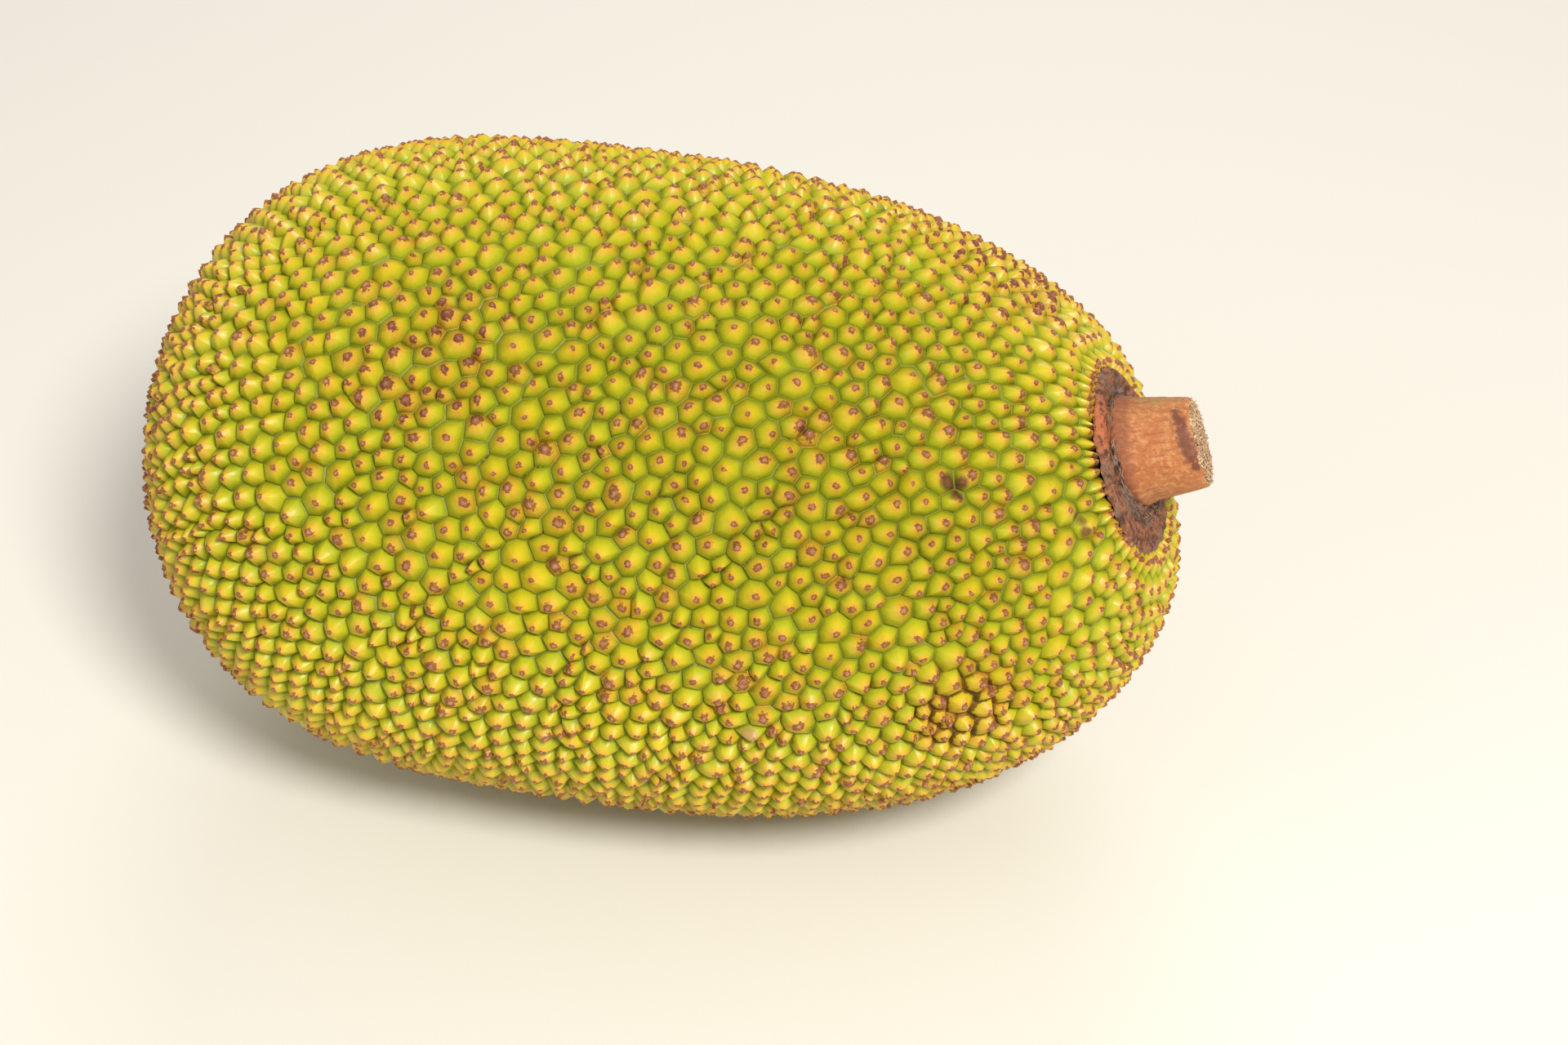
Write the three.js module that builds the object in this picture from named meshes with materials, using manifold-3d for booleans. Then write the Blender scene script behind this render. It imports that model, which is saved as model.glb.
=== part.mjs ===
// A whole jackfruit lying on its side, with the stub of its cut stalk.
//
// Millimetres, +Z up. +X runs along the fruit, from the blossom end to the stalk. The origin is
// below the middle of the whole thing, on the plane that the fruit rests on.
//
// The fruit is one solid: the smooth form that the tips of its tubercles touch. Its long axis
// lies level. The blossom end is blunt, the stalk end is longer and is flattened round a
// shallow recess, and the underside has a small flat spot to rest on. The stalk is one solid
// too: a tapered woody stub that rises askew from a thin corky collar in the recess.
import * as THREE from "three";
import { mergeVertices } from "three/addons/utils/BufferGeometryUtils.js";
import Module from "manifold-3d";

const wasm = await Module();
wasm.setup();

// Driving dimensions. Places are measured from the fruit's own centre, which is the middle of
// its widest section, and directions need not be of unit length.
const BODY = {
  blossomLength: 152, // from the widest section to the blossom end
  stalkLength: 202.3, // from the widest section to the stalk end, before it is flattened
  width: 225,
  height: 221.6,
  blossomFullness: 2.94, // a higher number makes that end blunter
  stalkFullness: 2.6,
  roundness: 2.04, // 2 makes each end a true ellipse across its shoulder
  flatSpotDepth: 1.5, // how far the underside gives where it rests
  detail: 11, // each edge of the starting icosahedron is cut into detail + 1
};
const SEAT = {
  centre: [182.9, -3.7, 41.3],
  axis: [0.9, 0.027, 0.434],
  softness: 3, // how gently the shoulder turns into the flattened end
};
const RECESS = { mouthRadius: 29.3, floorRadius: 27, depth: 5, sides: 40 };
const COLLAR = { footRadius: 26, topRadius: 24.5, height: 2.8, sides: 40 };
const STALK = {
  axis: [0.958, 0.06, 0.281],
  sideways: -1.1, // where its middle leaves the recess's floor: across the seat,
  upwards: 2.3, // and up it
  rootRadius: 17.6,
  cutRadius: 14.4,
  length: 26.6, // from the recess's floor to the saw cut, along the stalk's middle
  cutAxis: [0.929, 0.121, 0.349],
  sides: 36,
};
const GAP = 0.3; // between the stalk and the fruit that it sits in

const RIND = { color: 0xbdaa30, roughness: 0.45, metalness: 0 };
const WOOD = { color: 0xb9733f, roughness: 0.75, metalness: 0 };

const UP = new THREE.Vector3(0, 0, 1);
const seatAxis = new THREE.Vector3(...SEAT.axis).normalize();
const seatCentre = new THREE.Vector3(...SEAT.centre);
const seatAcross = new THREE.Vector3().crossVectors(seatAxis, UP).normalize();
const seatUp = new THREE.Vector3().crossVectors(seatAcross, seatAxis);

// The place on the even form for a point of the unit sphere.
function evenForm(point) {
  const along = THREE.MathUtils.clamp(point.x, -1, 1);
  const length = along < 0 ? BODY.blossomLength : BODY.stalkLength;
  const fullness = along < 0 ? BODY.blossomFullness : BODY.stalkFullness;
  const share = Math.max(1 - Math.abs(along) ** fullness, 0) ** (1 / BODY.roundness);
  const angle = Math.atan2(point.z, point.y);
  return new THREE.Vector3(
    length * along,
    (share * BODY.width * Math.cos(angle)) / 2,
    (share * BODY.height * Math.sin(angle)) / 2,
  );
}

// Presses what stands proud of the seat's plane back to it, with a soft turn at its edge.
function flattenEnd(point) {
  const proud = point.clone().sub(seatCentre).dot(seatAxis);
  const pressed = -SEAT.softness * Math.log1p(Math.exp(-proud / SEAT.softness));
  return point.addScaledVector(seatAxis, pressed - proud);
}

// A closed geometry as a solid that can be cut and joined.
function solidOf(geometry) {
  const bare = geometry.clone();
  bare.deleteAttribute("normal");
  bare.deleteAttribute("uv");
  const merged = mergeVertices(bare, 1e-3);
  return new wasm.Manifold(
    new wasm.Mesh({
      numProp: 3,
      vertProperties: new Float32Array(merged.attributes.position.array),
      triVerts: new Uint32Array(merged.index.array),
    }),
  );
}

function geometryOf(solid) {
  const { vertProperties, triVerts } = solid.getMesh();
  const geometry = new THREE.BufferGeometry();
  geometry.setAttribute("position", new THREE.BufferAttribute(vertProperties, 3));
  geometry.setIndex(new THREE.BufferAttribute(triVerts, 1));
  geometry.computeVertexNormals();
  return geometry;
}

// Stands a geometry that was made along +Z on a foot, pointing along an axis.
function stand(geometry, foot, axis) {
  const turn = new THREE.Quaternion().setFromUnitVectors(UP, axis);
  return geometry.applyQuaternion(turn).translate(foot.x, foot.y, foot.z);
}

// A straight-sided round block from [radius, height] at its foot to the same at its top.
function roundBlock([footRadius, footHeight], [topRadius, topHeight], sides, foot, axis) {
  const profile = [
    new THREE.Vector2(0, footHeight),
    new THREE.Vector2(footRadius, footHeight),
    new THREE.Vector2(topRadius, topHeight),
    new THREE.Vector2(0, topHeight),
  ];
  const turned = new THREE.LatheGeometry(profile, sides).rotateX(Math.PI / 2);
  return solidOf(stand(turned, foot, axis));
}

// All the space on one side of a plane, out to a distance that clears the whole fruit.
function halfSpace(planePoint, outward) {
  const reach = 600;
  const block = new THREE.BoxGeometry(reach, reach, reach).translate(0, 0, reach / 2);
  return solidOf(stand(block, planePoint, outward));
}

function bodySolid() {
  const geometry = new THREE.IcosahedronGeometry(1, BODY.detail);
  const positions = geometry.attributes.position;
  const point = new THREE.Vector3();
  for (let i = 0; i < positions.count; i++) {
    point.fromBufferAttribute(positions, i).normalize();
    const place = flattenEnd(evenForm(point));
    positions.setXYZ(i, place.x, place.y, place.z);
  }
  return solidOf(geometry);
}

function fruitSolid() {
  const { mouthRadius, floorRadius, depth, sides } = RECESS;
  const flare = (mouthRadius - floorRadius) / depth;
  const clearHeight = 20;
  const mouth = [mouthRadius + flare * clearHeight, clearHeight];
  const recess = roundBlock([floorRadius, -depth], mouth, sides, seatCentre, seatAxis);
  const flatSpot = new THREE.Vector3(0, 0, BODY.flatSpotDepth - BODY.height / 2);
  const ground = halfSpace(flatSpot, UP.clone().negate());
  return bodySolid().subtract(recess).subtract(ground);
}

function stalkSolid() {
  const axis = new THREE.Vector3(...STALK.axis).normalize();
  const cutAxis = new THREE.Vector3(...STALK.cutAxis).normalize();
  const foot = seatCentre.clone().addScaledVector(seatAxis, GAP - RECESS.depth);
  const root = foot
    .clone()
    .addScaledVector(seatAcross, STALK.sideways)
    .addScaledVector(seatUp, STALK.upwards);
  const cutPoint = root.clone().addScaledVector(axis, STALK.length - GAP);

  // The wood is made too long both ways, then trimmed at the collar's foot and the saw cut.
  const spare = 12;
  const taper = (STALK.rootRadius - STALK.cutRadius) / STALK.length;
  const wood = roundBlock(
    [STALK.rootRadius + taper * spare, -spare],
    [STALK.cutRadius - taper * spare, STALK.length + spare],
    STALK.sides,
    root,
    axis,
  );
  const collar = roundBlock(
    [COLLAR.footRadius, 0],
    [COLLAR.topRadius, COLLAR.height],
    COLLAR.sides,
    foot,
    seatAxis,
  );
  const beyondCut = halfSpace(cutPoint, cutAxis);
  const underFoot = halfSpace(foot, seatAxis.clone().negate());
  return wood.subtract(beyondCut).subtract(underFoot).add(collar);
}

function named(name, solid, finish) {
  const mesh = new THREE.Mesh(geometryOf(solid), new THREE.MeshStandardMaterial(finish));
  mesh.name = name;
  return mesh;
}

const jackfruit = new THREE.Group();
jackfruit.add(named("fruit", fruitSolid(), RIND));
jackfruit.add(named("stalk", stalkSolid(), WOOD));

const box = new THREE.Box3().setFromObject(jackfruit);
const middle = box.getCenter(new THREE.Vector3());
jackfruit.position.set(-middle.x, -middle.y, -box.min.z);

export default jackfruit;
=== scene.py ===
import math
import bpy
import numpy as np
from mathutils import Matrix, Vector, noise
from mathutils.bvhtree import BVHTree
from mathutils.kdtree import KDTree


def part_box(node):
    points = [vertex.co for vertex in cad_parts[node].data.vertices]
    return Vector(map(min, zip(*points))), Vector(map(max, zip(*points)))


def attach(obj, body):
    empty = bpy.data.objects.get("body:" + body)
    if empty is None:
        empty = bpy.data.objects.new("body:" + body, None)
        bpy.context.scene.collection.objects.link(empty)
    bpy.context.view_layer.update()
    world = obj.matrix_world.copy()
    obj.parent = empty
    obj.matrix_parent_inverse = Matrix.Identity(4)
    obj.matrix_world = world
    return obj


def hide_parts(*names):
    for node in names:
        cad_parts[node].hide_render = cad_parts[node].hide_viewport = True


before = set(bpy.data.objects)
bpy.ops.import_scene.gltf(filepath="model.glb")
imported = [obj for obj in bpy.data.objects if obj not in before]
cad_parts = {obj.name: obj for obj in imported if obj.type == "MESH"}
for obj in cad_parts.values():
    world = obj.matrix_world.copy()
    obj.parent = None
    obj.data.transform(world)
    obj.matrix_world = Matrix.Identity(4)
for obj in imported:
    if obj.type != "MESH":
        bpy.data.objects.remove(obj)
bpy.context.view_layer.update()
print("frame loaded", sorted(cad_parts))

mm = 0.001
seat = {  # the flattened end that the stalk grows from, as in the frame
    "centre": Vector((0.15485, -0.0037, 0.1506)),
    "axis": Vector((0.9, 0.027, 0.434)).normalized(),
}
seatAcross = seat["axis"].cross(Vector((0, 0, 1))).normalized()
seatUp = seatAcross.cross(seat["axis"])
rng = np.random.default_rng(14)


def selectOnly(piece):
    bpy.ops.object.select_all(action="DESELECT")
    piece.select_set(True)
    bpy.context.view_layer.objects.active = piece


def applyModifiers(piece):
    selectOnly(piece)
    for modifier in list(piece.modifiers):
        bpy.ops.object.modifier_apply(modifier=modifier.name)


def turnOutward(piece):  # makes every face look out of its piece
    selectOnly(piece)
    bpy.ops.object.mode_set(mode="EDIT")
    bpy.ops.mesh.select_all(action="SELECT")
    bpy.ops.mesh.normals_make_consistent(inside=False)
    bpy.ops.object.mode_set(mode="OBJECT")


def pointsOf(piece):
    points = np.empty(len(piece.data.vertices) * 3)
    piece.data.vertices.foreach_get("co", points)
    return points.reshape(-1, 3)


def setPoints(piece, points):
    piece.data.vertices.foreach_set("co", np.asarray(points, float).ravel())
    piece.data.update()


def unit(rows):
    return rows / np.linalg.norm(rows, axis=-1, keepdims=True)


def smoothStep(low, high, value):
    share = np.clip((value - low) / (high - low), 0, 1)
    return share * share * (3 - 2 * share)


def newMesh(name, vertices, faces):
    mesh = bpy.data.meshes.new(name)
    mesh.from_pydata([tuple(v) for v in vertices], [], faces)
    mesh.update()
    piece = bpy.data.objects.new(name, mesh)
    bpy.context.scene.collection.objects.link(piece)
    return piece


def addCamera():
    view = {"place": (0.1858, -0.6615, 0.6675), "tilt": 50, "turn": 12.5, "lens": 60}
    bpy.ops.object.camera_add(location=view["place"])
    camera = bpy.context.object
    camera.rotation_euler = (math.radians(view["tilt"]), 0, math.radians(view["turn"]))
    camera.data.lens = view["lens"]
    camera.data.sensor_width = 36
    bpy.context.scene.camera = camera


def addLamp(name, place, aim, size, power, tint=(1, 1, 1)):
    bpy.ops.object.light_add(type="AREA", location=place)
    lamp = bpy.context.object
    lamp.name = name
    lamp.rotation_euler = (Vector(aim) - Vector(place)).to_track_quat("-Z", "Y").to_euler()
    lamp.data.shape = "DISK"
    lamp.data.size = size
    lamp.data.energy = power
    lamp.data.color = tint


def addStage():
    heart = (0, 0, 0.1)
    addLamp("keyLight", (0.78, -1.0, 1.55), heart, 0.5, 37, (1, 0.97, 0.91))
    addLamp("fillLight", (-1.3, -0.9, 0.9), heart, 1.1, 5)
    addLamp("backLight", (-0.2, 1.5, 1.2), heart, 1.2, 9)
    world = bpy.data.worlds.new("studio")
    world.use_nodes = True
    world.node_tree.nodes["Background"].inputs["Color"].default_value = (1, 0.95, 0.85, 1)
    world.node_tree.nodes["Background"].inputs["Strength"].default_value = 0.42
    bpy.context.scene.world = world
    bpy.context.scene.view_settings.view_transform = "Standard"
    bpy.ops.mesh.primitive_plane_add(size=8, location=(0, 0, 0))
    floor = bpy.context.object
    floor.name = "floor"
    shade = Shader("paleFloor")
    shade.body(color=(0.79, 0.77, 0.72), roughness=0.75)
    floor.data.materials.append(shade.material)


class Value:  # a socket that can be used in sums
    def __init__(self, shader, socket):
        self.shader = shader
        self.socket = socket

    def sum(self, operation, *others, clamp=False):  # any operation of the Math node
        settings = {"operation": operation, "use_clamp": clamp}
        inputs = {i: other for i, other in enumerate((self, *others))}
        return self.shader.node("ShaderNodeMath", settings, inputs)

    def __add__(self, other):
        return self.sum("ADD", other)

    def __sub__(self, other):
        return self.sum("SUBTRACT", other)

    def __mul__(self, other):
        return self.sum("MULTIPLY", other)

    def __truediv__(self, other):
        return self.sum("DIVIDE", other)

    def __pow__(self, other):
        return self.sum("POWER", other)

    def __radd__(self, other):
        return self.sum("ADD", other)

    def __rmul__(self, other):
        return self.sum("MULTIPLY", other)

    def __rsub__(self, other):
        return (self * -1) + other

    def clamped(self):
        return self.sum("ADD", 0, clamp=True)

    def rise(self, low, high):  # 0 below low, 1 above high, smooth between
        settings = {"interpolation_type": "SMOOTHSTEP"}
        inputs = {"Value": self, "From Min": low, "From Max": high}
        return self.shader.node("ShaderNodeMapRange", settings, inputs)

    def fall(self, low, high):
        return 1 - self.rise(low, high)


class Shader:
    def __init__(self, name):
        self.material = bpy.data.materials.new(name)
        self.material.use_nodes = True
        self.tree = self.material.node_tree
        self.principled = self.tree.nodes["Principled BSDF"]
        self.coordinates = self.node("ShaderNodeTexCoord", {}, {}, "Object")

    def fill(self, socket, value):
        if isinstance(value, Value):
            self.tree.links.new(value.socket, socket)
        elif isinstance(value, (tuple, list)) and socket.type == "RGBA":
            socket.default_value = (*value[:3], 1)
        else:
            socket.default_value = value

    def node(self, kind, settings, inputs, output=0):
        made = self.tree.nodes.new(kind)
        for key, value in settings.items():
            setattr(made, key, value)
        for key, value in inputs.items():
            self.fill(made.inputs[key], value)
        return Value(self, made.outputs[output])

    def mix(self, share, first, second):  # of two colours
        settings = {"data_type": "RGBA"}
        return self.node("ShaderNodeMix", settings, {0: share, 6: first, 7: second}, 2)

    def noise(self, scale, detail=3, place=None):
        inputs = {
            "Vector": place or self.coordinates,
            "Scale": scale,
            "Detail": detail,
            "Roughness": 0.55,
        }
        return self.node("ShaderNodeTexNoise", {}, inputs, "Fac")

    def moved(self, place, operation, other):
        settings = {"operation": operation}
        return self.node("ShaderNodeVectorMath", settings, {0: place, 1: other})

    def distance(self, point):  # in metres, from a point of the frame
        away = self.moved(self.coordinates, "SUBTRACT", tuple(point))
        settings = {"operation": "LENGTH"}
        return self.node("ShaderNodeVectorMath", settings, {0: away}, "Value")

    def parts(self, vector):
        return [self.node("ShaderNodeSeparateXYZ", {}, {0: vector}, i) for i in range(3)]

    def attribute(self, name):
        return self.node("ShaderNodeAttribute", {"attribute_name": name}, {}, "Color")

    def bump(self, height, distance, strength=1):
        inputs = {"Height": height, "Distance": distance, "Strength": strength}
        return self.node("ShaderNodeBump", {}, inputs, "Normal")

    def body(self, color, roughness, normal=None):
        self.fill(self.principled.inputs["Base Color"], color)
        self.fill(self.principled.inputs["Roughness"], roughness)
        if normal:
            self.fill(self.principled.inputs["Normal"], normal)


rind = {
    "tubercles": 4450,
    "lipFingers": 58,  # the narrow tubercles round the stalk's recess
    "ghostRadius": 26.4 * mm,
    "fingerRadius": 34.2 * mm,
    "nextRadius": 46 * mm,
    "nextCount": 42,
    "clearRadius": 50.5 * mm,
    "lipRadius": 30.5 * mm,
    "insets": {  # how much nearer the stalk each ring comes on the side facing the camera
        "ghost": 6.4 * mm,
        "lip": 5.2 * mm,
        "finger": 3.6 * mm,
        "next": 3 * mm,
        "clear": 3 * mm,
    },
    "spread": 0.65,  # how far the sites stray from an even spread
    "leanFrom": 42 * mm,  # the tubercles between these distances lean to the stalk
    "leanTo": 110 * mm,
    "lean": 0.9 * mm,
    "tipShift": 2.4 * mm,
    "edgeUnit": 5 * mm,  # the distance that the green part of the cell attribute counts in
    "relaxRounds": 12,
    "cornerShift": 0.5 * mm,
    "height": 4.9 * mm,
    "shares": (0.075, 0.46, 0.8),  # how far in from its border each ring of a tubercle is
    "rises": (0.21, 0.64, 0.925),  # and how far up
    "rounding": (0.01, 0.04, 0.13),
}


def convexForm():  # the fruit's own form with its recess filled in
    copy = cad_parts["fruit"].copy()
    copy.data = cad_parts["fruit"].data.copy()
    copy.parent = None
    copy.name = "form"
    bpy.context.scene.collection.objects.link(copy)
    selectOnly(copy)
    bpy.ops.object.mode_set(mode="EDIT")
    bpy.ops.mesh.select_all(action="SELECT")
    bpy.ops.mesh.remove_doubles(threshold=1e-5)
    bpy.ops.mesh.convex_hull()
    bpy.ops.object.mode_set(mode="OBJECT")
    return copy


class Form:  # finds the nearest place on a closed form
    def __init__(self, piece):
        depsgraph = bpy.context.evaluated_depsgraph_get()
        self.tree = BVHTree.FromObject(piece, depsgraph)

    def nearest(self, points):
        return np.array([self.tree.find_nearest(Vector(p))[0] for p in points])


def lipInset(angle):  # 1 where the lip comes closest to the stalk, 0 across from there
    turned = (np.asarray(angle) - 1.25 + math.pi) % (2 * math.pi) - math.pi
    return np.exp(-((turned / 0.95) ** 2))


def seatAngle(points):
    away = np.asarray(points) - np.array(seat["centre"])
    return np.arctan2(away @ np.array(seatUp), away @ np.array(seatAcross))


def ringPoints(radius, count, offset, inset):
    angles = (np.arange(count) + offset) / count * 2 * math.pi
    radius = (radius - inset * lipInset(angles))[:, None]
    across = np.outer(np.cos(angles), seatAcross)
    over = np.outer(np.sin(angles), seatUp)
    return np.array(seat["centre"]) + radius * (across + over)


def fromSeat(points):  # how far out from the seat's axis, and how far along it
    away = points - np.array(seat["centre"])
    along = away @ np.array(seat["axis"])
    out = np.linalg.norm(away - np.outer(along, seat["axis"]), axis=1)
    return out, along


def sites(form):  # one point for each tubercle, evenly but not regularly spread
    count = rind["tubercles"]
    insets = rind["insets"]
    index = np.arange(count) + 0.5
    height = 1 - 2 * index / count
    turn = index * math.pi * (1 + 5**0.5)
    ring = np.sqrt(1 - height**2)
    sphere = np.stack([height, ring * np.cos(turn), ring * np.sin(turn)], 1)
    sphere = unit(sphere + rng.normal(0, rind["spread"] / math.sqrt(count), sphere.shape))
    low, high = (np.array(corner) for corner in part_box("fruit"))
    points = form.nearest((low + high) / 2 + sphere * (high - low) / 2)
    out, along = fromSeat(points)
    clear = rind["clearRadius"] - insets["clear"] * lipInset(seatAngle(points))
    free = points[(out > clear) | (along < -0.03)]
    fingers = rind["lipFingers"]
    pinned = [
        ringPoints(rind["ghostRadius"], fingers, 0.5, insets["ghost"]),
        ringPoints(rind["fingerRadius"], fingers, 0, insets["finger"]),
        ringPoints(rind["nextRadius"], rind["nextCount"], 0.3, insets["next"]),
        np.array([seat["centre"]]),
    ]
    pinned = np.concatenate([form.nearest(p) for p in pinned])
    return np.concatenate([pinned, free]), len(pinned)


def neighbourMean(points, edges):
    total = np.zeros_like(points)
    count = np.zeros(len(points))
    for a, b in ((0, 1), (1, 0)):
        np.add.at(total, edges[:, a], points[edges[:, b]])
        np.add.at(count, edges[:, a], 1)
    return total / np.maximum(count, 1)[:, None]


def edgesOf(piece):
    edges = np.empty(len(piece.data.edges) * 2, int)
    piece.data.edges.foreach_get("vertices", edges)
    return edges.reshape(-1, 2)


def siteNet(form):  # joins the sites into a net of triangles, and evens it out
    points, pinnedCount = sites(form)
    low, high = (np.array(corner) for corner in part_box("fruit"))
    round_ = unit((points - (low + high) / 2) / (high - low))
    net = newMesh("net", round_, [])
    key = net.data.attributes.new("site", "INT", "POINT")
    key.data.foreach_set("value", np.arange(len(points)))
    selectOnly(net)
    bpy.ops.object.mode_set(mode="EDIT")
    bpy.ops.mesh.select_all(action="SELECT")
    bpy.ops.mesh.convex_hull(join_triangles=False)
    bpy.ops.object.mode_set(mode="OBJECT")
    order = np.empty(len(net.data.vertices), int)
    net.data.attributes["site"].data.foreach_get("value", order)
    points = points[order]
    free = order >= pinnedCount
    for _ in range(rind["relaxRounds"]):
        setPoints(net, points)
        selectOnly(net)
        bpy.ops.object.mode_set(mode="EDIT")
        bpy.ops.mesh.select_all(action="SELECT")
        bpy.ops.mesh.beautify_fill(angle_limit=math.pi)
        bpy.ops.object.mode_set(mode="OBJECT")
        edges = edgesOf(net)
        for _ in range(2):
            mean = neighbourMean(points, edges)
            points = np.where(free[:, None], points + 0.45 * (mean - points), points)
        points[free] = form.nearest(points[free])
    setPoints(net, points)
    return net


def dualNet(net):  # turns each point of the net into a many-sided cell
    group = bpy.data.node_groups.new("cells", "GeometryNodeTree")
    group.interface.new_socket("Geometry", in_out="INPUT", socket_type="NodeSocketGeometry")
    group.interface.new_socket("Geometry", in_out="OUTPUT", socket_type="NodeSocketGeometry")
    start = group.nodes.new("NodeGroupInput")
    dual = group.nodes.new("GeometryNodeDualMesh")
    end = group.nodes.new("NodeGroupOutput")
    group.links.new(start.outputs[0], dual.inputs[0])
    group.links.new(dual.outputs[0], end.inputs[0])
    cells = net.copy()
    cells.data = net.data.copy()
    cells.name = "cells"
    bpy.context.scene.collection.objects.link(cells)
    modifier = cells.modifiers.new("cells", "NODES")
    modifier.node_group = group
    applyModifiers(cells)
    return cells


def cornerLoops(net, cells):  # each cell's corners in order, and its site
    siteTree = KDTree(len(net.data.vertices))
    for i, vertex in enumerate(net.data.vertices):
        siteTree.insert(vertex.co, i)
    siteTree.balance()
    loops = []
    for cell in cells.data.polygons:
        loops.append((siteTree.find(cell.center)[1], list(cell.vertices)))
    return loops


def rindMesh(form):
    net = siteNet(form)
    cells = dualNet(net)
    tips = pointsOf(net)
    corners = form.nearest(pointsOf(cells))
    normals = np.empty(len(cells.data.vertices) * 3)
    cells.data.vertices.foreach_get("normal", normals)
    normals = normals.reshape(-1, 3)
    shift = rng.normal(0, rind["cornerShift"], corners.shape)
    shift -= normals * np.sum(shift * normals, 1)[:, None]
    steady = smoothStep(0.042, 0.056, fromSeat(corners)[0])  # the fingers stay even
    corners = corners + shift * steady[:, None]
    out, along = fromSeat(tips)
    lip = rind["lipRadius"] - rind["insets"]["lip"] * lipInset(seatAngle(tips))
    loops = cornerLoops(net, cells)

    # what each tubercle is like
    count = len(tips)
    dice = rng.random((count, 6))
    blossom = smoothStep(-0.05, -0.165, tips[:, 0])
    shoulder = (1 - smoothStep(0.036, 0.085, out)) * (along > -0.05)
    height = rind["height"] * (1 + 0.12 * blossom - 0.3 * shoulder) * (0.85 + 0.3 * dice[:, 0])

    vertices = []
    faces = []
    tipUv = []
    cellInfo = []
    depth = cornerDepth(loops, height, len(corners))
    base = corners - normals * depth[:, None]
    vertices.extend(base)
    for site, ring in loops:
        tip = tips[site]
        if out[site] < lip[site] and along[site] > -0.03:
            continue
        c = corners[ring]
        b = base[ring]
        n = normals[ring].mean(0)
        n /= np.linalg.norm(n)
        middle = c.mean(0)
        lean = dice[site, 1:4] - 0.5
        lean -= n * (lean @ n)
        top = 0.5 * middle + 0.5 * tip + lean * rind["tipShift"]
        if rind["leanFrom"] < out[site] < rind["leanTo"] and along[site] > -0.09:
            toStalk = np.array(seat["centre"]) - tip
            toStalk -= n * (toStalk @ n)
            top = top + toStalk / np.linalg.norm(toStalk) * rind["lean"]
        top = top - n * height[site] * 0.12 * dice[site, 4]
        reach = np.linalg.norm(c - top, axis=1).mean()
        h = height[site] * min(1, reach / (3.4 * mm))
        rings = [list(ring)]
        around = len(ring)
        sides = 0.5 * (np.roll(c, 1, 0) + np.roll(c, -1, 0))
        edgeSize = [0.0]
        apothem = reach * 0.9
        for share, rise, soft in zip(rind["shares"], rind["rises"], rind["rounding"]):
            outline = c * (1 - soft) + sides * soft
            place = outline + share * (top - outline)
            place = place - n * h * (1 - rise)
            start = len(vertices)
            vertices.extend(place)
            rings.append(list(range(start, start + around)))
            edgeSize.append(share * apothem)
        peak = len(vertices)
        vertices.append(top + n * h * 0.03)
        edgeSize.append(apothem)
        turn = dice[site, 5] * 2 * math.pi
        e1 = np.cross(n, (0.3, 0.9, 0.31))
        e1 /= np.linalg.norm(e1)
        e2 = np.cross(n, e1)
        axisU = math.cos(turn) * e1 + math.sin(turn) * e2
        axisV = math.cos(turn) * e2 - math.sin(turn) * e1

        def corner(level, i):
            index = rings[level][i % around] if level < len(rings) else peak
            away = np.asarray(vertices[index]) - top
            tipUv.append((away @ axisU, away @ axisV))
            cellInfo.append((dice[site, 0], edgeSize[level] / rind["edgeUnit"], dice[site, 2], 1))
            return index

        for level in range(3):
            for i in range(around):
                faces.append(
                    (
                        corner(level, i),
                        corner(level, i + 1),
                        corner(level + 1, i + 1),
                        corner(level + 1, i),
                    )
                )
        for i in range(around):
            faces.append((corner(3, i), corner(3, i + 1), corner(4, 0)))
    vertices = np.asarray(vertices)
    vertices[:, 2] = np.maximum(vertices[:, 2], 0)
    piece = newMesh("rind", vertices, faces)
    uv = piece.data.uv_layers.new(name="tip")
    uv.data.foreach_set("uv", np.asarray(tipUv).ravel())
    info = piece.data.color_attributes.new("cell", "FLOAT_COLOR", "CORNER")
    info.data.foreach_set("color", np.asarray(cellInfo, float).ravel())
    for extra in (net, cells):
        bpy.data.objects.remove(extra)
    return piece


def cornerDepth(loops, height, count):  # the mean height of the tubercles at each corner
    total = np.zeros(count)
    times = np.zeros(count)
    for site, ring in loops:
        total[ring] += height[site]
        times[ring] += 1
    return total / np.maximum(times, 1)


def finishPiece(piece, slot, *nodes):
    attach(piece, "root")
    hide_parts(*nodes)


def smoothShaded(piece):
    selectOnly(piece)
    bpy.ops.object.shade_smooth()


rindLook = {
    "yellow": (0.64, 0.50, 0.014),
    "green": (0.42, 0.45, 0.016),
    # darker green for the grooves: partly the rind's own green, partly painted shade
    "shadedValley": (0.15, 0.19, 0.006),
    "halo": (0.72, 0.34, 0.04),
    "scab": (0.18, 0.045, 0.020),
    "scabHeartAndHighlight": (0.50, 0.21, 0.12),
    "crack": (0.40, 0.31, 0.16),
    "bruise": (0.12, 0.030, 0.010),
    "dead": (0.42, 0.24, 0.09),
    "wound": (0.055, 0.018, 0.012),
    "scabRadius": 1.32 * mm,
}
marks = {  # scars on the rind: where, and how wide
    "bruise": ((0.116, -0.086, 0.104), 19 * mm),
    "leftScabs": ((-0.058, -0.063, 0.200), 26 * mm),
    "topScabs": ((0.106, 0.024, 0.196), 27 * mm),
    "wound": ((0.1055, -0.0618, 0.1762), 4.8 * mm),
    "slitA": ((0.1430, -0.0465, 0.1575), 3.5 * mm),
    "slitB": ((0.1450, -0.0490, 0.1535), 3.5 * mm),
    "deadTip": ((0.0513, -0.1073, 0.1026), 3.6 * mm),
}


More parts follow.
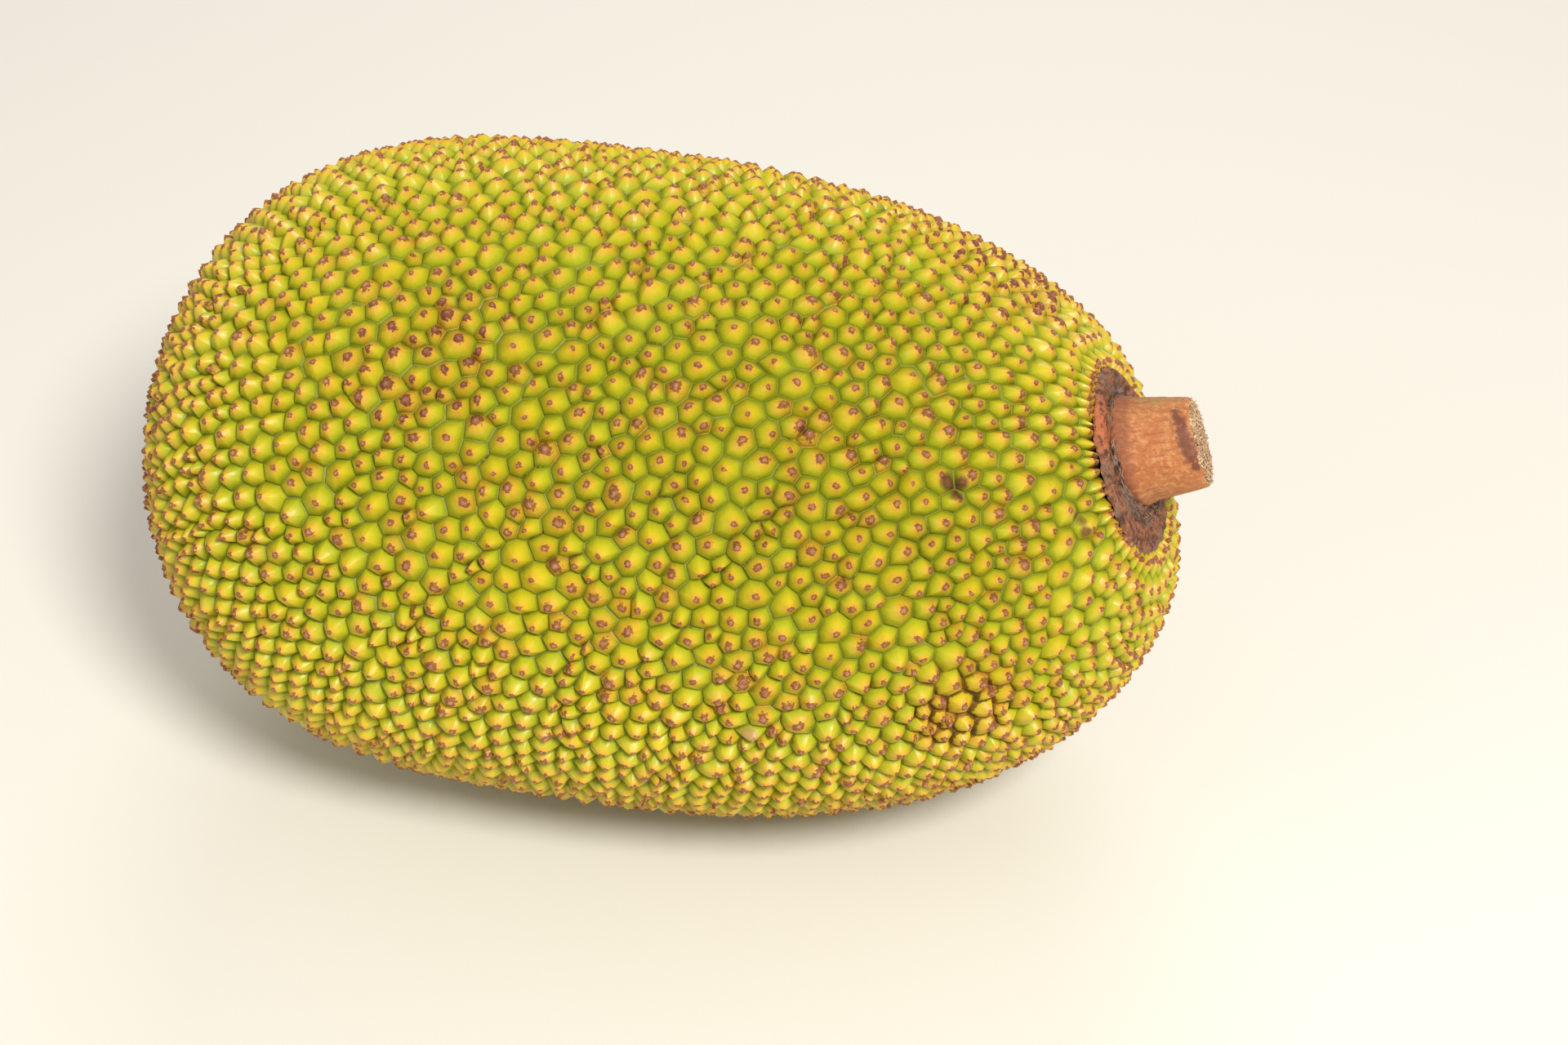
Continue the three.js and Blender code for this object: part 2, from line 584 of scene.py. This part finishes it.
def rindMaterial():
    look = rindLook
    s = Shader("rind")
    dice, edge, dice2 = s.parts(s.attribute("cell"))
    edge = edge * rind["edgeUnit"]  # distance in from the tubercle's border
    u, v, _ = s.parts(s.node("ShaderNodeUVMap", {"uv_map": "tip"}, {}))
    ragged = s.noise(900, 2)
    broad = s.noise(14, 3)
    patchy = s.noise(160, 3)
    worn = s.noise(70, 2)

    def near(name, soft=0.35):  # 1 inside one of the marks, 0 outside it
        place, reach = marks[name]
        away = s.distance(place) + (worn - 0.5) * reach * 0.9
        return away.fall(reach * (1 - soft), reach * (1 + soft))

    blossom = s.parts(s.coordinates)[0].fall(-0.172, -0.10)
    sore = (near("leftScabs") + near("topScabs") + blossom * 0.5).clamped()
    bruise = near("bruise")

    # the small corky scab on each tip, of uneven outline
    stretched = s.node("ShaderNodeCombineXYZ", {}, {0: u * (0.7 + dice * 0.8), 1: v, 2: 0})
    radius = s.node("ShaderNodeVectorMath", {"operation": "LENGTH"}, {0: stretched}, "Value")
    size = look["scabRadius"] * (0.62 + dice2 * 0.45 + (dice2**7) * 0.4 + sore * 0.3)
    reach = radius / size + (ragged - 0.5) * 1.8
    scab = reach.fall(0.85, 1.15)
    # the scab's paler heart: its own lighter core, lightened further as a painted highlight
    heart = (reach + (s.noise(1900, 2) - 0.5) * 1.2).fall(0.2, 0.65) * (1 - sore * 0.5)
    halo = reach.fall(0.9, 2.8)

    # broad and fine changes of tone
    angle = u.sum("ARCTAN2", v)
    rays = s.node("ShaderNodeCombineXYZ", {}, {0: angle * 5, 1: radius * 260, 2: dice * 40})
    streaks = s.noise(1, 3, rays)
    yellowing = (edge / (3.1 * mm)).rise(0.12, 1.05) * 0.85 + bruise * 0.35 - blossom * 0.1
    yellowing = yellowing + (broad - 0.5) * 0.9 + (patchy - 0.5) * 0.7 + (dice - 0.5) * 0.4
    yellowing = yellowing + (streaks - 0.5) * 0.55
    color = s.mix(yellowing.clamped(), look["green"], look["yellow"])
    # the grooves between tubercles: their own green, darkened further as painted shade
    shadedValley = edge.fall(0.05 * mm, 0.75 * mm)
    color = s.mix(shadedValley * 0.8, color, look["shadedValley"])
    crack = edge.fall(0.02 * mm, 0.2 * mm) * s.noise(420, 3).rise(0.48, 0.6)
    color = s.mix(crack * 0.6, color, look["crack"])
    teeth = edge - (ragged - 0.5) * 1.3 * mm - bruise * 0.85 * mm
    dash = teeth.fall(0.02 * mm, 0.3 * mm) * (worn.rise(0.585, 0.66) + bruise).clamped()
    color = s.mix(dash * 0.85, color, look["bruise"])
    color = s.mix(halo * 0.72, color, look["halo"])
    color = s.mix(bruise * patchy.rise(0.5, 0.7) * 0.35, color, look["halo"])
    color = s.mix(scab * (0.86 + sore * 0.12), color, look["scab"])
    # painted highlight on the scab's heart, over its own paler core
    color = s.mix(scab * heart * 0.85, color, look["scabHeartAndHighlight"])
    dead = near("deadTip", 0.2)
    color = s.mix(dead * 0.8, color, look["dead"])
    wound = (near("wound", 0.2) + near("slitA", 0.2) + near("slitB", 0.2)).clamped()
    color = s.mix(wound * 0.9, color, s.mix(ragged.rise(0.4, 0.6), look["wound"], look["scab"]))
    roughness = 0.41 + scab * 0.35 + shadedValley * 0.2 + (patchy - 0.5) * 0.2 + wound * 0.2
    relief = edge / (0.6 * mm) + s.noise(700, 3) * 0.35 + streaks * 0.3
    relief = relief + scab * (ragged * 1.2 - 0.7) - heart * scab * 0.4
    s.body(color, roughness, s.bump(relief, 0.42 * mm, 0.75))
    return s.material


mouth = {
    "drops": ((1.5 * mm, 0.96), (3.6 * mm, 0.94)),  # how far each step goes in, and narrows
    "corkyWithin": 31.5 * mm,
    "corkyFrom": 0.6 * mm,
    "corkyTo": 20 * mm,
}


def closeMouth(piece):  # carries the lip down into the recess and closes it
    selectOnly(piece)
    bpy.ops.object.mode_set(mode="EDIT")
    bpy.ops.mesh.select_mode(type="EDGE")
    bpy.ops.mesh.select_all(action="DESELECT")
    bpy.ops.mesh.select_non_manifold()
    for depth, narrow in mouth["drops"]:
        bpy.ops.mesh.extrude_edges_move(
            TRANSFORM_OT_translate={"value": tuple(-seat["axis"] * depth)}
        )
        bpy.ops.transform.resize(value=(narrow, narrow, narrow))
    bpy.ops.mesh.edge_face_add()
    bpy.ops.mesh.poke()
    bpy.ops.object.mode_set(mode="OBJECT")


def addMouthMaterial(piece, material, firstFace):  # on the faces that close the mouth
    piece.data.materials.append(material)
    for face in piece.data.polygons[firstFace:]:
        out, along = fromSeat(np.array([face.center]))
        sunk = mouth["corkyFrom"] < -along[0] < mouth["corkyTo"]
        if out[0] < mouth["corkyWithin"] and sunk:
            face.material_index = 1


def polar(angle, out, along):  # a place round the seat's axis, in metres
    across = math.cos(angle) * seatAcross + math.sin(angle) * seatUp
    return seat["centre"] + across * out + seat["axis"] * along


def noiseAt(place, scale, seed=0.0):
    return noise.noise(Vector(place) * scale + Vector((seed, 2.3 * seed, -seed)))


stalk = {
    "axis": Vector((0.958, 0.06, 0.281)).normalized(),
    "sideways": -1.1 * mm,
    "upwards": 2.3 * mm,
    "rootDepth": 4.7 * mm,
    "rootRadius": 17.4 * mm,
    "cutRadius": 14.3 * mm,
    "length": 26.3 * mm,
    "cutAxis": Vector((0.929, 0.121, 0.349)).normalized(),
    "around": 112,
    "steps": 34,
    "darkStreakSpots": (  # a dark streak: angle round the stalk, distance along it, and width
        (1.40, 20.3 * mm, 1.7 * mm),
        (1.15, 21.2 * mm, 2.3 * mm),
        (0.90, 22.0 * mm, 2.7 * mm),
        (0.62, 22.9 * mm, 2.9 * mm),
        (0.34, 23.9 * mm, 2.5 * mm),
        (0.10, 24.9 * mm, 1.9 * mm),
    ),
}
stalk["root"] = (
    seat["centre"]
    - seat["axis"] * stalk["rootDepth"]
    + seatAcross * stalk["sideways"]
    + seatUp * stalk["upwards"]
)
stalkX = stalk["axis"].cross(Vector((0, 0, 1))).normalized()
stalkY = stalkX.cross(stalk["axis"])


def onStalk(angle, out, along):
    across = math.cos(angle) * stalkX + math.sin(angle) * stalkY
    return stalk["root"] + across * out + stalk["axis"] * along


def addStalk():
    bpy.ops.mesh.primitive_circle_add(vertices=stalk["around"], radius=1, fill_type="NGON")
    piece = bpy.context.object
    piece.name = "stalkWood"
    bpy.ops.object.mode_set(mode="EDIT")
    bpy.ops.mesh.select_all(action="SELECT")
    for _ in range(stalk["steps"]):
        bpy.ops.mesh.extrude_region_move(
            TRANSFORM_OT_translate={"value": (0, 0, 1 / stalk["steps"])}
        )
    for _ in range(9):
        bpy.ops.mesh.inset(thickness=0.1)
    bpy.ops.mesh.poke()
    bpy.ops.object.mode_set(mode="OBJECT")
    taper = stalk["rootRadius"] - stalk["cutRadius"]
    shaped = []
    for x, y, z in pointsOf(piece):
        angle = math.atan2(y, x)
        share = math.hypot(x, y)
        onCut = z > 0.999 and share < 0.985
        radius = stalk["rootRadius"] - taper * z
        swell = 0.5 * noiseAt((math.cos(angle), math.sin(angle), z * 0.8), 1.3, 4)
        fibre = noiseAt((math.cos(angle), math.sin(angle), z * 0.16), 11, 9)
        fine = noiseAt((math.cos(angle), math.sin(angle), z * 0.3), 34, 5)
        foot = 0.8 * math.exp(-((z - 0.16) / 0.10) ** 2)
        worn = -1.5 * max(0, (z - 0.93) / 0.07) ** 2 * (1 - onCut)
        radius += (swell + 0.28 * fibre + 0.12 * fine + foot + worn) * mm
        place = onStalk(angle, radius * share, 0)
        centre = stalk["root"] + stalk["axis"] * stalk["length"]
        reach = (centre - place).dot(stalk["cutAxis"]) / stalk["axis"].dot(stalk["cutAxis"])
        low = (stalk["root"] - place).dot(seat["axis"]) / stalk["axis"].dot(seat["axis"])
        along = low + (reach - low) * z
        if z > 0.9:
            ragged = noiseAt((x, y, 0), 9, 2) * 0.5 + noiseAt((x, y, 0), 31, 7) * 0.45
            along += (ragged - 0.55) * mm * (z - 0.9) / 0.1
        shaped.append(place + stalk["axis"] * along)
    setPoints(piece, shaped)
    turnOutward(piece)
    return piece


collar = {
    "around": 150,
    "rings": 22,
    "outer": 32.6 * mm,
    "inner": 15.5 * mm,
    "pits": (  # angle round the seat, distance out, depth and width
        (2.70, 23.5 * mm, 3.4 * mm, 5.5 * mm),
        (3.3, 24.0 * mm, 2.4 * mm, 5 * mm),
        (-1.15, 24 * mm, 2.3 * mm, 5 * mm),
        (-0.5, 25 * mm, 1.5 * mm, 5 * mm),
    ),
}


def addCollar():
    bpy.ops.mesh.primitive_circle_add(vertices=collar["around"], radius=1, fill_type="NGON")
    piece = bpy.context.object
    piece.name = "corkyCollar"
    bpy.ops.object.mode_set(mode="EDIT")
    bpy.ops.mesh.select_all(action="SELECT")
    bpy.ops.mesh.extrude_region_move(TRANSFORM_OT_translate={"value": (0, 0, 1)})
    for _ in range(collar["rings"]):
        bpy.ops.mesh.inset(thickness=0.5 / collar["rings"])
    bpy.ops.object.mode_set(mode="OBJECT")
    shaped = []
    for x, y, z in pointsOf(piece):
        angle = math.atan2(y, x)
        share = (1 - math.hypot(x, y)) / 0.5  # 0 at the lip, 1 under the stalk
        wave = noiseAt((math.cos(angle) * 2, math.sin(angle) * 2, 0), 1.6, 3)
        outer = collar["outer"] - 5 * mm * float(lipInset(angle))
        out = outer + (collar["inner"] - outer) * share
        out += wave * 0.7 * mm * (1 - share)
        if z < 0.5:
            shaped.append(polar(angle, outer * 0.8, -4.75 * mm))
            continue
        flat = polar(angle, out, 0)
        depth = 1.3 + 0.5 * math.sin(share * 3)
        depth += 1.9 * math.exp(-(((out - 19.2 * mm) / (1.3 * mm)) ** 2))
        depth += 0.9 * noiseAt(flat, 190, 1) + 0.7 * noiseAt(flat, 520, 6)
        depth += 0.35 * noiseAt(flat, 1300, 8)
        depth = depth * mm
        for pitAngle, pitOut, pitDepth, width in collar["pits"]:
            away = (flat - polar(pitAngle, pitOut, 0)).length
            depth += pitDepth * math.exp(-((away / width) ** 2))
        edge = max(0, 1 - share / 0.16)
        depth = min(max(depth, 0.1 * mm), 4.6 * mm) + 2.6 * mm * edge
        shaped.append(polar(angle, out, -min(depth, 4.6 * mm)))
    setPoints(piece, shaped)
    turnOutward(piece)
    return piece


def strand(path, radius, sides=4):  # a thin closed fibre along a path
    vertices = []
    faces = []
    for i, place in enumerate(path):
        ahead = (path[min(i + 1, len(path) - 1)] - path[max(i - 1, 0)]).normalized()
        side = ahead.cross(Vector((0.31, 0.2, 0.93))).normalized()
        over = ahead.cross(side)
        thin = radius * (0.35 if i in (0, len(path) - 1) else 1)
        for k in range(sides):
            turn = 2 * math.pi * k / sides
            vertices.append(place + (side * math.cos(turn) + over * math.sin(turn)) * thin)
    for i in range(len(path) - 1):
        for k in range(sides):
            here, beside = i * sides + k, i * sides + (k + 1) % sides
            faces.append((here, beside, beside + sides, here + sides))
    faces.append(tuple(reversed(range(sides))))
    last = (len(path) - 1) * sides
    faces.append(tuple(range(last, last + sides)))
    return vertices, faces


def joined(name, parts):
    vertices = []
    faces = []
    for partVertices, partFaces in parts:
        start = len(vertices)
        vertices.extend(partVertices)
        faces.extend(tuple(start + i for i in face) for face in partFaces)
    piece = newMesh(name, vertices, faces)
    turnOutward(piece)
    return piece


def addCollarFibres():  # dry threads lying in the groove round the stalk
    dice = np.random.default_rng(5)
    parts = []
    for _ in range(150):
        start = dice.uniform(0, 2 * math.pi)
        sweep = dice.uniform(0.08, 0.45) * dice.choice((-1, 1))
        out = dice.normal(19.6, 1.7) * mm
        drift = dice.normal(0, 1.6) * mm
        rise = dice.uniform(-1.9, -0.9) * mm
        curl = dice.uniform(0.1, 0.9) * mm
        path = []
        for step in np.linspace(0, 1, 9):
            wobble = dice.normal(0, 0.12) * mm
            along = rise + curl * math.sin(step * math.pi) + wobble
            path.append(polar(start + sweep * step, out + drift * step + wobble, along))
        parts.append(strand(path, dice.uniform(0.07, 0.17) * mm))
    return joined("collarFibres", parts)


def addCutFibres():  # pale torn threads round the sawn edge
    dice = np.random.default_rng(8)
    centre = stalk["root"] + stalk["axis"] * stalk["length"]
    parts = []
    for _ in range(170):
        angle = dice.uniform(0, 2 * math.pi)
        out = stalk["cutRadius"] * dice.uniform(0.80, 0.97)
        flat = onStalk(angle, out, 0)
        reach = (centre - flat).dot(stalk["cutAxis"]) / stalk["axis"].dot(stalk["cutAxis"])
        length = dice.uniform(0.6, 1.7) * mm
        lean = dice.uniform(-0.5, 0.5)
        path = []
        for step in np.linspace(0, 1, 5):
            place = onStalk(angle + lean * 0.12 * step, out * (1 + 0.03 * step), reach)
            path.append(place + stalk["axis"] * (step * length * 0.7 - 1.0 * mm))
        parts.append(strand(path, dice.uniform(0.10, 0.26) * mm))
    return joined("cutFibres", parts)


barkLook = {
    "copper": (0.44, 0.145, 0.04),
    "pale": (0.64, 0.31, 0.12),
    "red": (0.40, 0.11, 0.035),
    "dark": (0.20, 0.055, 0.025),
    "darkStreak": (0.13, 0.028, 0.015),
    "green": (0.30, 0.24, 0.06),
    "cream": (0.74, 0.53, 0.30),
}


def stalkPlace(s, squeeze):  # the stalk's own coordinates, squeezed along it to draw grain
    away = s.moved(s.coordinates, "SUBTRACT", tuple(stalk["root"]))
    axes = (stalkX, stalkY, stalk["axis"])
    parts = [
        s.node("ShaderNodeVectorMath", {"operation": "DOT_PRODUCT"}, {0: away, 1: tuple(a)}, "Value")
        for a in axes
    ]
    place = s.node("ShaderNodeCombineXYZ", {}, {0: parts[0], 1: parts[1], 2: parts[2] * squeeze})
    return place, parts


def barkMaterial():
    look = barkLook
    s = Shader("bark")
    grainPlace, (x, y, z) = stalkPlace(s, 0.12)
    grain = s.noise(900, 4, grainPlace)
    streak = s.noise(260, 3, grainPlace)
    speckle = s.noise(1500, 3)
    blotch = s.noise(130, 3)
    mottle = s.noise(620, 4)
    color = s.mix(streak.rise(0.35, 0.7) * 0.45, look["copper"], look["pale"])
    color = s.mix(mottle.rise(0.46, 0.62) * 0.6, color, look["pale"])
    color = s.mix(grain.rise(0.52, 0.7) * 0.55, color, look["dark"])
    color = s.mix(speckle.rise(0.55, 0.68) * 0.5, color, look["dark"])
    color = s.mix(blotch.rise(0.48, 0.72) * 0.6, color, look["red"])
    greenSpot = s.distance(onStalk(2.0, 16.5 * mm, 13 * mm)).fall(3 * mm, 10 * mm)
    color = s.mix(greenSpot * mottle.rise(0.4, 0.6) * 0.55, color, look["green"])
    # painted shade: the foot of the stalk, down in the recess, is darkened
    foot = z.fall(4.2 * mm, 7 * mm)
    color = s.mix(foot * 0.6, color, look["dark"])
    # a dark, glossier streak along the upper edge near the cut
    darkStreak = 0
    for turn, along, reach in stalk["darkStreakSpots"]:
        spot = s.distance(onStalk(turn, 14.6 * mm, along)) + (mottle - 0.5) * 3 * mm
        darkStreak = spot.fall(reach * 0.45, reach * 1.35) + darkStreak
    darkStreak = darkStreak.clamped()
    color = s.mix(darkStreak * 0.85, color, look["darkStreak"])
    nearCut = s.moved(
        s.coordinates, "SUBTRACT", tuple(stalk["root"] + stalk["axis"] * stalk["length"])
    )
    dotWith = {0: nearCut, 1: tuple(stalk["cutAxis"])}
    nearCut = s.node("ShaderNodeVectorMath", {"operation": "DOT_PRODUCT"}, dotWith, "Value")
    rim = (nearCut + (streak - 0.5) * 2.4 * mm).rise(-1.3 * mm, -0.7 * mm)
    fibrous = s.mix(speckle.rise(0.42, 0.58), look["dark"], look["cream"])
    color = s.mix(rim, color, fibrous)
    roughness = 0.72 - darkStreak * 0.2
    relief = grain * 1.2 + streak + speckle * 0.5
    s.body(color, roughness, s.bump(relief, 0.35 * mm, 0.9))
    return s.material


def corkMaterial():
    s = Shader("cork")
    lumps = s.noise(420, 4)
    fine = s.noise(1500, 3)
    patches = s.noise(95, 2)
    color = s.mix(lumps.rise(0.36, 0.64), (0.075, 0.03, 0.018), (0.34, 0.12, 0.055))
    color = s.mix(patches.rise(0.48, 0.62) * 0.75, color, (0.20, 0.14, 0.10))
    color = s.mix(fine.rise(0.55, 0.72) * 0.6, color, (0.42, 0.25, 0.15))
    bright = s.distance(polar(1.1, 23 * mm, -1 * mm)).fall(5 * mm, 13 * mm)
    color = s.mix(bright * lumps.rise(0.32, 0.5) * 0.85, color, (0.52, 0.15, 0.055))
    s.body(color, 0.85, s.bump(lumps * 1.5 + fine, 0.5 * mm, 1))
    return s.material


def threadMaterial(name, dark, pale):
    s = Shader(name)
    tone = s.noise(350, 2)
    color = s.mix(tone.rise(0.35, 0.65), dark, pale)
    s.body(color, 0.8)
    return s.material


addCamera()
addStage()
formPiece = convexForm()
form = Form(formPiece)
rindPiece = rindMesh(form)
tubercleFaces = len(rindPiece.data.polygons)
closeMouth(rindPiece)
rindPiece.data.materials.append(rindMaterial())
cork = corkMaterial()
addMouthMaterial(rindPiece, cork, tubercleFaces)
smoothShaded(rindPiece)
finishPiece(rindPiece, "rind", "fruit")
bpy.data.objects.remove(formPiece)
triangles = sum(len(p.vertices) - 2 for p in rindPiece.data.polygons)
print("rind made", len(rindPiece.data.vertices), triangles)

woodPiece = addStalk()
woodPiece.data.materials.append(barkMaterial())
collarPiece = addCollar()
collarPiece.data.materials.append(cork)
threadPiece = addCollarFibres()
threadPiece.data.materials.append(threadMaterial("dryThread", (0.06, 0.04, 0.03), (0.33, 0.27, 0.20)))
cutPiece = addCutFibres()
cutPiece.data.materials.append(threadMaterial("paleThread", (0.36, 0.2, 0.1), (0.68, 0.53, 0.33)))
for piece in (woodPiece, collarPiece, threadPiece, cutPiece):
    smoothShaded(piece)
    finishPiece(piece, "stalk_wood", "stalk")
print("stalk made")
